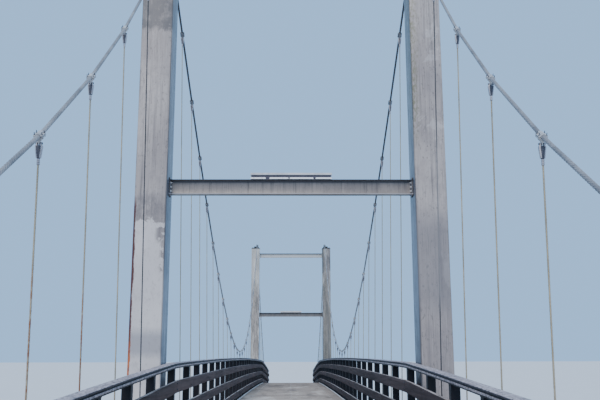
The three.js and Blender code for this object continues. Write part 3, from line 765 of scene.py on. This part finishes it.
def build_floor_frames():
    """Floor beams of rolled section, with plates at their ends and stringers on top."""
    high, wide, long, short = (FLOOR_BEAM[key] for key in ("high", "wide", "long", "short"))
    half = wide / 2
    under_tower = steel_top(TOWER_Y) - high
    low, top_z = -PLANK_THICK - STRINGER_HIGH - 2, -PLANK_THICK - 1
    for name, y0, y1, side in SPANS:
        shell = Shell()
        if side:
            beams = [(side * (TOWER_Y + SPAN_SPLIT + wide), short, under_tower)]
            beams += [(side * (TOWER_Y + d), long if i <= SIDE_HANGERS else short, None)
                      for i, d in enumerate(side_stations)]
        else:
            beams = [(way * TOWER_Y, short, under_tower) for way in (-1, 1)]
            beams += [(y, long, None) for y in main_hangers]
        for y, reach, under in beams:
            top = steel_top(y)
            base = top - high if under is None else under
            across(shell, rolled(half, (top - base) / 2, 9.0, 7.0), y, (top + base) / 2, reach - 8)
            for sign in (-1, 1):
                block(shell, (sign * (reach - 9), y - half - 4, base), (sign * reach, y + half + 4, top), 1.5)
                column(shell, sign * POST_X, y, 5, half - 3, base + 8, top - 8, 1.0)
                for x in STRINGER_X:
                    block(shell, (x + sign * 30, y - 28, top - 2), (x + sign * 62, y + 28, top + 7), 1.5)
                    bolt(shell, (x + sign * 48, y, top + 7), UP, 7.0, 6.0, 2.0)
        for x in STRINGER_X:
            a, b, c = STRINGER_HALF, STRINGER_HALF - 5, STRINGER_HALF - 4
            section = [(x - a, low + 5), (x - b, low), (x + b, low), (x + a, low + 5), (x + a, top_z - 4),
                       (x + c, top_z), (x - c, top_z), (x - a, top_z - 4)]
            along_deck(shell, section, stations(y0 + 2, y1 - 2))
        make(f"{name}_floor_steel", shell, steel, [f"{name}_floor_frame"])


# Railings
def build_railings():
    """Posts with foot plates and ribs, and a capped top rail in lengths of four bays."""
    half, deep = POST_WIDE / 2, POST_DEEP / 2
    foot_x, foot_y, foot_high = POST_FOOT
    for name, y0, y1, side in SPANS:
        ys = post_stations(side)
        for flank, sign in SIDES:
            rng = random.Random(f"{name}{flank}rail")
            posts, rail = Shell(), Shell()
            x = sign * POST_X
            for y in ys:
                foot = steel_top(y) + GAP
                head = deck_z(y) + RAIL_TOP - RAIL_HIGH
                column(posts, x, y, half, deep, foot + 4, head - 3, 7.0)
                column(posts, x, y, foot_x, foot_y, foot, foot + foot_high, 2.0)
                column(posts, x, y, half, 58, head - 8, head + 6, 2.0)
                for dy, dx in corners(67, 30):
                    bolt(posts, (x + dx, y + dy, foot + foot_high), UP, 6.5, 6.0, 2.0)
                for way in (-1, 1):
                    plate(posts, POST_RIB, (x, y + way * deep, foot + foot_high), (0, way, 0), UP, 8.0)
            make(f"{name}_{flank}_posts", posts, steel, [f"{name}_{flank}_railing"])
            section = [(sign * (RAIL_X + x), RAIL_TOP + z) for x, z in RAIL_SECTION]
            # The dark steel paint and the darker copy are painted shade on the rail
            slots = [1 if k in RAIL_STEEL_SHADE else 2 if k in RAIL_CAP_SHADE else 0 for k in range(len(section))]
            joints = [y for y in ys[2::BAYS] if RAIL_END < y - y0 < y1 - y0 - RAIL_END]
            cuts = [y0 + GAP, *joints, y1 - GAP]
            for a, b in zip(cuts, cuts[1:]):
                along_deck(rail, section, stations(a + 1.5, b - 1.5), 0, slots, rng.uniform(-1.0, 0.0))
            looks = [rail_look, steel, rail_shaded_side]
            make(f"{name}_{flank}_top_rail", rail, looks, [f"{name}_{flank}_railing"])


def build_boards():
    """Boards on the posts' inner side, in lengths of four bays, with carriage bolts."""
    ys = sorted(post_stations(-1) + post_stations(0) + post_stations(1))
    inner = POST_X - POST_WIDE / 2 - GAP - BOARD_THICK
    for flank, sign in SIDES:
        for level, (top, first) in BOARDS.items():
            rng = random.Random(flank + level)
            shell, bolts = Shell(), Shell()
            joints = [y for y in ys[first::BAYS] if abs(y) < DECK_END - BOARD_END]
            cuts = [2 - DECK_END, *joints, DECK_END - 2]
            for a, b in zip(cuts, cuts[1:]):
                drop, push = rng.uniform(-2.5, 0.0), rng.uniform(0.0, 0.6)
                cup = abs(rng.uniform(-0.8, 0.8))
                x0, x1 = inner + push, inner + BOARD_THICK
                z0, z1 = top - BOARD_HIGH, top
                section = [(x0 + 5, z0), (x0 + 1, z0 + 2), (x0, z0 + 6), (x0 + cup, (z0 + z1) / 2),
                           (x0, z1 - 6),
                           (x0 + 1, z1 - 2), (x0 + 5, z1), (x1 - 5, z1), (x1 - 1, z1 - 2), (x1, z1 - 6),
                           (x1, z0 + 6), (x1 - 1, z0 + 2), (x1 - 5, z0)]
                section = [(sign * x, z) for x, z in section]
                along_deck(shell, section, stations(a + 2.5, b - 2.5), rng.choice((0, 1, 2)), None, drop)
            for y in ys:
                for dz in (-34, 34):
                    for dy in (-22, 22) if y in joints else (0,):
                        at = (sign * (inner + 0.4), y + dy, deck_z(y) + top - BOARD_HIGH / 2 + dz)
                        turned(bolts, BOARD_BOLT, at, (-sign, 0, 0), 8)
            make(f"{flank}_{level}_rail_board", shell, board_looks,
                 [f"{flank}_{level}_board"])
            make(f"{flank}_{level}_board_bolts", bolts, dark_fitting)


# Lines of the cables, as in the part's source
def main_z(y):
    s = abs(y) / TOWER_Y
    return CABLE_MID_Z + (CABLE_VERTEX_Z - CABLE_MID_Z) * s * s * (1 + CABLE_EASE * (1 - s))


def main_slope(y):
    s = abs(y) / TOWER_Y
    rise = (CABLE_VERTEX_Z - CABLE_MID_Z) / TOWER_Y
    return math.copysign(rise * s * (2 + 2 * CABLE_EASE - 3 * CABLE_EASE * s), y)


def side_curve(d):
    """Height and slope of the side cable at a distance from the tower."""
    t = d / LAST_D
    u = 1 - t
    p = (CABLE_VERTEX_Z, CABLE_VERTEX_Z + SIDE_SLOPE_TOP * LAST_D / 3,
         SIDE_LAST_Z - SIDE_SLOPE_END * LAST_D / 3, SIDE_LAST_Z)
    z = u ** 3 * p[0] + 3 * u * u * t * p[1] + 3 * u * t * t * p[2] + t ** 3 * p[3]
    slope = 3 * (u * u * (p[1] - p[0]) + 2 * u * t * (p[2] - p[1]) + t * t * (p[3] - p[2])) / LAST_D
    return z, slope


main_angle = math.atan(main_slope(TOWER_Y))
side_angle = math.atan(-SIDE_SLOPE_TOP)
arc_lean = (side_angle - main_angle) / 2
arc_drop = SADDLE_RADIUS / math.cos((side_angle + main_angle) / 2)
arc_d = -arc_drop * math.sin(arc_lean)
arc_z = CABLE_VERTEX_Z - arc_drop * math.cos(arc_lean)


def arc_point(angle, radius):
    """Distance from the tower's axis and height, on the saddle's arc."""
    return arc_d + radius * math.sin(angle), arc_z + radius * math.cos(angle)


def over_saddle(sign, way, angle):
    """The cable's points from the saddle's crown to where it leaves the groove."""
    points = [arc_point(angle * i / SADDLE_STEPS, SADDLE_RADIUS) for i in range(SADDLE_STEPS + 1)]
    return [(sign * SADDLE_X, way * (TOWER_Y + d), z) for d, z in points]


def cable_x(z, foot_x):
    floor = steel_top(0)
    return foot_x + (SADDLE_X - foot_x) * (z - floor) / (CABLE_VERTEX_Z - floor)


def anchor(sign, way):
    z = SIDE_LAST_Z + SIDE_SLOPE_END * (ANCHOR_D - LAST_D)
    return np.array([sign * ANCHOR_X, way * (TOWER_Y + ANCHOR_D), z])


def hang(parts, sign, foot_x, y, z, slope, rope_slot=0):
    """A clamp on the cable with its lug, socket, ferrule and hanger, down to the floor beam's lug."""
    clamps, sockets, ropes, _ = parts
    point = np.array([sign * cable_x(z, foot_x), y, z])
    foot = np.array([sign * foot_x, y, steel_top(y)])
    u = unit((0, 1, slope))
    h = unit(foot - point)
    n = unit(np.cross(u, UP))
    w = np.cross(n, u)
    # Two halves drawn together by four bolts
    for outline in (CLAMP_UPPER, CLAMP_LOWER):
        loft(clamps, [[point + u * d + n * a * size + w * (b - math.copysign((1 - size) * 15, b) * 0.4)
                       for a, b in outline] for d, size in CLAMP_LENGTH])
    for du, dn in corners(22, 22.5):
        at = point + u * du + n * dn
        bolt(clamps, at + w * 9, w, 5.0, 4.5, 1.2, 12.0, 1)
        bolt(clamps, at - w * 9, -w, 5.0, 4.0, 1.2, 0.0, 1)
    # Lug below the lower half, in the plane of cable and hanger
    plane = unit(np.cross(n, h))
    side = np.cross(plane, h)
    plate(clamps, CLAMP_LUG, point, plane, h, 10.0, 1.5)
    # Open socket: two ears and a basket that tapers down, with the wedge showing in its face
    turned(sockets, SOCKET_PIN, point + h * 50, side, 10, 1)
    for ds in (-13, 13):
        plate(sockets, SOCKET_EAR, point + side * ds, plane, h, 6.5, 1.0)

    def taper(sections, slot):
        loft(sockets, [[point + h * row[0] + side * a + plane * b for a, b in section]
                       for row, section in zip(BASKET, sections)], slot)

    for ds in (-1, 1):
        taper([[(ds * (outer - 7), -deep), (ds * outer, 2.5 - deep), (ds * outer, deep - 2.5),
                (ds * (outer - 7), deep)] for _, outer, deep in BASKET], 0)
    taper([[(6 - outer, 3.5 - deep), (outer - 6, 3.5 - deep), (outer - 6, deep - 3.5),
            (6 - outer, deep - 3.5)]
           for _, outer, deep in BASKET], 1)
    turned(sockets, SOCKET_NECK, point, h, 10, 1)
    turned(sockets, FERRULE, point, h, 10)
    # Bottom: ferrule, fork and pin on the floor beam's lug
    end = foot - h * 8
    turned(sockets, FOOT_FERRULE, end, -h, 10)
    for ds in (-11, 11):
        plate(sockets, FORK_EAR, end + side * ds, plane, h, 6.0, 1.0)
    turned(sockets, FORK_PIN, end - h * 36, side, 10, 1)
    plate(sockets, FOOT_LUG, end, plane, h, 10.0, 1.0, 1)
    length = np.linalg.norm(end - point)
    rope(ropes, [point + h * 181, point + h * (length - 152)], *HANGER, rope_slot)


def make_cable(node, parts, clamp, wires):
    clamps, sockets, ropes, cable = parts
    make(f"{node}_clamps", clamps, [clamp, link_look], [node])
    make(f"{node}_sockets", sockets, [socket_look, link_look], [node])
    make(f"{node}_hangers", ropes, [hanger_look, hanger_painted_shade], [node], sharp=80)
    make(f"{node}_rope", cable, wires, [node], sharp=80)


def build_cables():
    for flank, sign in SIDES:
        parts = [Shell() for _ in range(4)]
        for y in main_hangers:
            hang(parts, sign, MAIN_FOOT_X, y, main_z(y), main_slope(y))
        chain = over_saddle(sign, -1, -main_angle)
        middle = [(sign * cable_x(main_z(y), MAIN_FOOT_X), y, main_z(y)) for y in main_hangers]
        back = [(x, -y, z) for x, y, z in reversed(chain)]
        rope(parts[3], chain + middle + back, *ROPE)
        make_cable(f"{flank}_main_cable", parts, main_clamp, main_strand)
        for end, way in ENDS:
            parts = [Shell() for _ in range(4)]
            chain = over_saddle(sign, way, side_angle)
            for i, d in enumerate(side_stations[:SIDE_HANGERS]):
                z, slope = side_curve(d)
                # The first hanger takes the dark rope copy, painted shade
                hang(parts, sign, SIDE_FOOT_X, way * (TOWER_Y + d), z, way * slope, int(i == 0))
                chain.append((sign * cable_x(z, SIDE_FOOT_X), way * (TOWER_Y + d), z))
            tip = anchor(sign, way)
            back = unit(tip - np.array(chain[-1]))
            chain.append(tuple(tip - back * 150))
            rope(parts[3], chain[::way], *ROPE)
            # Cast socket and bearing plate against the anchor block's face
            sockets = parts[1]
            face = tip - back * 1.0
            turned(sockets, ANCHOR_SOCKET, face, back, 20, 1)
            side = unit(np.cross(back, UP))
            rise = np.cross(side, back)
            plate(sockets, BEARING_PLATE, face - back * 14, side, rise, 26.0, 4.0)
            for a, b in corners(100, 100):
                bolt(sockets, face - back * 27 + side * a + rise * b, -back, 16.0, 14.0, 4.0, 20.0, 1)
            make_cable(f"{end}_{flank}_side_cable", parts, clamp_look, strand)


# Towers
def rounded_square(half, radius, steps=3):
    points = []
    for q in range(4):
        cx = (half - radius) * (1 if q in (0, 3) else -1)
        cy = (half - radius) * (1 if q in (0, 1) else -1)
        for i in range(steps + 1):
            a = math.radians(q * 90 + 90 * i / steps)
            points.append((cx + radius * math.cos(a), cy + radius * math.sin(a)))
    return points


def build_legs():
    """Box legs with a cap, a base plate, stiffeners and anchor bolts."""
    foot = PLINTH_HIGH + GAP
    section = rounded_square(LEG / 2, 9)
    levels = np.linspace(foot + 26, LEG_TOP - 22, 12)
    for name, sign, way in CORNERS:
        x, y = sign * LEG_X, way * TOWER_Y
        shell, bolts = Shell(), Shell()
        loft(shell, [[(x + a, y + b, z) for a, b in section] for z in levels])
        column(shell, x, y, CAP_HALF, CAP_HALF, LEG_TOP - 24, LEG_TOP, 3.0, 1)
        column(shell, x, y, FOOT_HALF, FOOT_HALF, foot, foot + 30, 4.0)
        column(shell, x, y, COLLAR_HALF, COLLAR_HALF, foot + 28, foot + 38, 4.0)
        for k in range(4):
            c, s = math.cos(k * math.pi / 2), math.sin(k * math.pi / 2)
            for t in (-95, 95):
                at = (x + c * 189 - s * t, y + s * 189 + c * t, foot + 29)
                plate(shell, STIFFENER, at, (c, s, 0), UP, 12.0)
            for t in (-235, 0):
                at = (x + c * 235 - s * t, y + s * 235 + c * t, foot + 29)
                bolt(bolts, at, UP, 22.0, 20.0, 5.0, 34.0)
        looks = [paint, black]
        make(f"{name}_leg_box", shell, looks, [f"{name}_tower_leg"], sharp=25)
        make(f"{name}_leg_anchors", bolts, dark_fitting)


def build_beams():
    """Crossbeams of rolled section with bolted end plates, and a box beam under the deck."""
    inner = LEG_X - LEG / 2
    high, half = DECK_BEAM["high"], DECK_BEAM["wide"] / 2
    outer, web = high / 2, half - DECK_BEAM["web_in"]
    within = outer - DECK_BEAM["flange"]
    deck_section = [(-half, -outer), (half, -outer), (half, -within), (web, -within), (web, within),
                    (half, within),
                    (half, outer), (-half, outer), (-half, within), (-web, within), (-web, -within),
                    (-half, -within)]
    for end, way in ENDS:
        y = way * TOWER_Y
        for level, beam in (("lower", LOWER_BEAM), ("upper", UPPER_BEAM)):
            shell, bolts = Shell(), Shell()
            across(shell, rolled(beam["wide"] / 2, beam["high"] / 2, 10.0, 8.0, 8.0), y, beam["z"],
                   inner - 14)
            half_y, half_z = beam["wide"] / 2 + 20, beam["high"] / 2 + 20
            for sign in (-1, 1):
                block(shell, (sign * (inner - 16), y - half_y, beam["z"] - half_z),
                      (sign * (inner - GAP), y + half_y, beam["z"] + half_z), 2.5)
                for dy in (-27, 27):
                    for dz in (-52, 0, 52):
                        at = (sign * (inner - 16), y + dy, beam["z"] + dz)
                        bolt(bolts, at, (-sign, 0, 0), 11.0, 9.0, 3.0, 8.0)
            make(f"{end}_{level}_beam_steel", shell, beam_look, [f"{end}_{level}_crossbeam"])
            make(f"{end}_{level}_beam_bolts", bolts, clamp_look)
        top = steel_top(TOWER_Y) - FLOOR_BEAM["high"] - GAP
        shell = Shell()
        reach = inner - GAP
        across(shell, deck_section, y, top - high / 2, reach - 12)
        for sign in (-1, 1):
            block(shell, (sign * (reach - 14), y - half, top - high), (sign * reach, y + half, top), 2.5)
        for x in (-1000, -500, 0, 500, 1000):
            for dy in (-1, 1):
                block(shell, (x - 6, y + dy * (half - 22), top - high + 14),
                      (x + 6, y + dy * (half - 2), top - 14), 1.5)
        make(f"{end}_deck_beam_steel", shell, beam_look, [f"{end}_deck_beam"])


def build_panels():
    """A lid over a dark case, with white strips, on each lower crossbeam."""
    base = LOWER_BEAM["z"] + LOWER_BEAM["high"] / 2 + GAP
    half = PANEL_HALF
    for end, way in ENDS:
        y = way * TOWER_Y
        shell = Shell()
        column(shell, 0, y, half, 60, base + 51, base + 78, 3.0, 1)
        column(shell, 0, y, half - 12, 48, base, base + 53, 3.0, 2)
        # A low white strip in four lengths on the side away from the main span
        for a, b in PANEL_STRIPS:
            outline = [(a, 2), (b, 2), (b - 4, 21), (a + 4, 21)]
            plate(shell, outline, (0, y + way * 54, base), (1, 0, 0), UP, 12.0, 2.0)
        # On the side of the main span the lid's white edge is turned down
        block(shell, (-half, y - way * 49, base + 24), (half, y - way * 60, base + 64), 2.0)
        make(f"{end}_panel_case", shell, [white, lid_grey, case_dark], [f"{end}_beam_panel"])


def build_saddles():
    """Cast saddles: a base plate, a pedestal, a web with ribs and the trough that the cable lies in."""
    base = LEG_TOP + GAP
    plate_top = base + 20
    seat = SADDLE_RADIUS - ROPE[0] - 1.5
    lip = SADDLE_RADIUS + 4 - seat
    trough = [(-40, -10), (-40, lip), (-28, lip), (-15, 6), (-8, 1), (0, -1), (8, 1), (15, 6), (28, lip),
              (40, lip), (40, -10), (20, -16), (-20, -16)]
    angles = [-main_angle * (1 - i / 8) for i in range(8)] + [side_angle * i / 8 for i in range(9)]
    line = [(a, *arc_point(a, seat)) for a in angles]
    line = [(a, d, z) for a, d, z in line if z > plate_top + 6]
    web = [(d, z - 8) for _, d, z in line]
    web = [(line[0][1] + 4, plate_top - 2), *web, (line[-1][1] - 4, plate_top - 2)]
    for name, sign, way in CORNERS:
        x, y, groove_x = sign * LEG_X, way * TOWER_Y, sign * SADDLE_X
        shell = Shell()
        column(shell, x, y, 170, 170, base, plate_top, 4.0)
        column(shell, x, y, 75, 100, plate_top - 4, base + 92, 10.0)
        for a, b in corners(135, 135):
            bolt(shell, (x + a, y + b, plate_top), UP, 16.0, 13.0, 4.0, 14.0, 1)
        rings = []
        for a, d, z in line:
            out = np.array([0, way * math.sin(a), math.cos(a)])
            at = np.array([groove_x, way * (TOWER_Y + d), z])
            rings.append([at + out * b + np.array([c, 0, 0]) for c, b in trough])
        loft(shell, rings)
        loft(shell, [[(groove_x + c, y + way * d, z) for d, z in web] for c in (-9, 9)])
        for f in (0.2, 0.5, 0.8):
            _, d, z = line[round(f * (len(line) - 1))]
            column(shell, groove_x, y + way * d, 38, 7, plate_top - 2, z - 9, 2.0)
        make(f"{name}_saddle_cast", shell, [black, dark_fitting], [f"{name}_saddle"], sharp=40)


# Concrete
def prism(shell, outline, way, x0, x1, cut):
    """A convex outline in (distance from tower, height), carried across the bridge with chamfered edges."""
    outline = np.array([(way * (TOWER_Y + d), z) for d, z in outline])
    x0, x1 = min(x0, x1), max(x0, x1)
    wide, thin = [], []
    for i, b in enumerate(outline):
        a, c = outline[i - 1], outline[(i + 1) % len(outline)]
        inside = b + unit(unit(a - b) + unit(c - b)) * cut * 1.2
        for other in (a, c):
            wide.append(b + unit(other - b) * cut)
            thin.append(inside + unit(other - b) * cut * 0.2)
    loft(shell, [[(x, *p) for p in ring]
                 for x, ring in ((x0, thin), (x0 + cut, wide), (x1 - cut, wide), (x1, thin))])


def build_concrete():
    """A stepped plinth under each leg; abutments with a seat, an end wall and two anchor blocks."""
    half = PLINTH / 2
    fall = math.atan(-SIDE_SLOPE_END)
    face = (math.sin(fall), math.cos(fall))
    end_d = DECK_END - TOWER_Y + GAP
    back = end_d + 250
    wall_top = deck_z(DECK_END)
    seat = steel_top(DECK_END - 100) - FLOOR_BEAM["high"] - GAP
    for end, way in ENDS:
        for flank, sign in SIDES:
            x, y = sign * LEG_X, way * TOWER_Y
            shell = Shell()
            column(shell, x, y, half, half, 0, PLINTH_HIGH - 14, 22.0)
            column(shell, x, y, 310, 310, PLINTH_HIGH - 40, PLINTH_HIGH, 8.0)
            make(f"{end}_{flank}_plinth_block", shell, stone, [f"{end}_{flank}_plinth"])
        tip_z = anchor(1, way)[2]
        low = (ANCHOR_D - 220 * face[0], tip_z - 220 * face[1])
        high = (ANCHOR_D + 280 * face[0], tip_z + 280 * face[1])
        shell = Shell()
        prism(shell, [(low[0] + 8, 0), (end_d + 60, 0), (end_d + 60, seat), (low[0] + 8, seat)],
              way, -1500, 1500, 16)
        prism(shell, [(end_d, 0), (back - 8, 0), (back - 8, wall_top), (end_d, wall_top)],
              way, -1490, 1490, 12)
        for sign in (-1, 1):
            prism(shell, [(low[0], 0), (back, 0), (back, high[1]), high, low],
                  way, sign * 1450, sign * 1850, 16)
        make(f"{end}_abutment_concrete", shell, stone, [f"{end}_abutment"])


# Floor, light and camera
FLOOR_REACH = 600
SKY = (0.35, 0.60, 0.96, 1)
SKY_POWER = 1.15
# Name, rotation in degrees, power, colour, angle
SUNS = (
    ("key", (46, 0, -14), 2.7, (1.0, 0.93, 0.85), 0.6),
    ("fill", (60, 0, 120), 0.5, (0.85, 0.92, 1.0), 1.0),
)
# The photo's camera: its eye in millimetres, its turn in degrees, and its focal length in pixels of the frame
EYE = (-4, -22416, 3545)
EYE_TURN = (90 + 11.786, 0.12, -0.673)
FOCAL_PX = 764.8
PHOTO_WIDE = 600
SENSOR = 36.0


def build_stage():
    r = FLOOR_REACH
    mesh = bpy.data.meshes.new("studio_floor")
    mesh.from_pydata([(-r, -r, 0), (r, -r, 0), (r, r, 0), (-r, r, 0)], [], [(0, 1, 2, 3)])
    look = Look("studio_floor_pale", roughness=0.9, specular=0.1)
    mesh.materials.append(look.finish(
        look.mix((look.noise(0.4, 3), 0.3, 0.7), (0.60, 0.62, 0.64, 1), (0.64, 0.655, 0.67, 1))))
    floor = place("studio_floor", mesh)
    world = bpy.data.worlds.new("studio")
    world.use_nodes = True
    background = world.node_tree.nodes["Background"]
    background.inputs[0].default_value = SKY
    background.inputs[1].default_value = SKY_POWER
    bpy.context.scene.world = world
    for name, turn, power, colour, spread in SUNS:
        light = bpy.data.lights.new(name, "SUN")
        light.energy = power
        light.color = colour
        light.angle = spread
        place(name, light).rotation_euler = [math.radians(a) for a in turn]
    camera = bpy.data.cameras.new("camera")
    camera.sensor_width = SENSOR
    camera.sensor_fit = "HORIZONTAL"
    camera.lens = FOCAL_PX / PHOTO_WIDE * SENSOR
    camera.clip_start = 0.02
    camera.clip_end = 1500
    eye = place("camera", camera)
    eye.location = Vector(EYE) * M
    eye.rotation_euler = [math.radians(a) for a in EYE_TURN]
    bpy.context.scene.camera = eye


build_planks()
build_floor_frames()
build_railings()
build_boards()
build_cables()
build_legs()
build_beams()
build_panels()
build_saddles()
build_concrete()
build_stage()
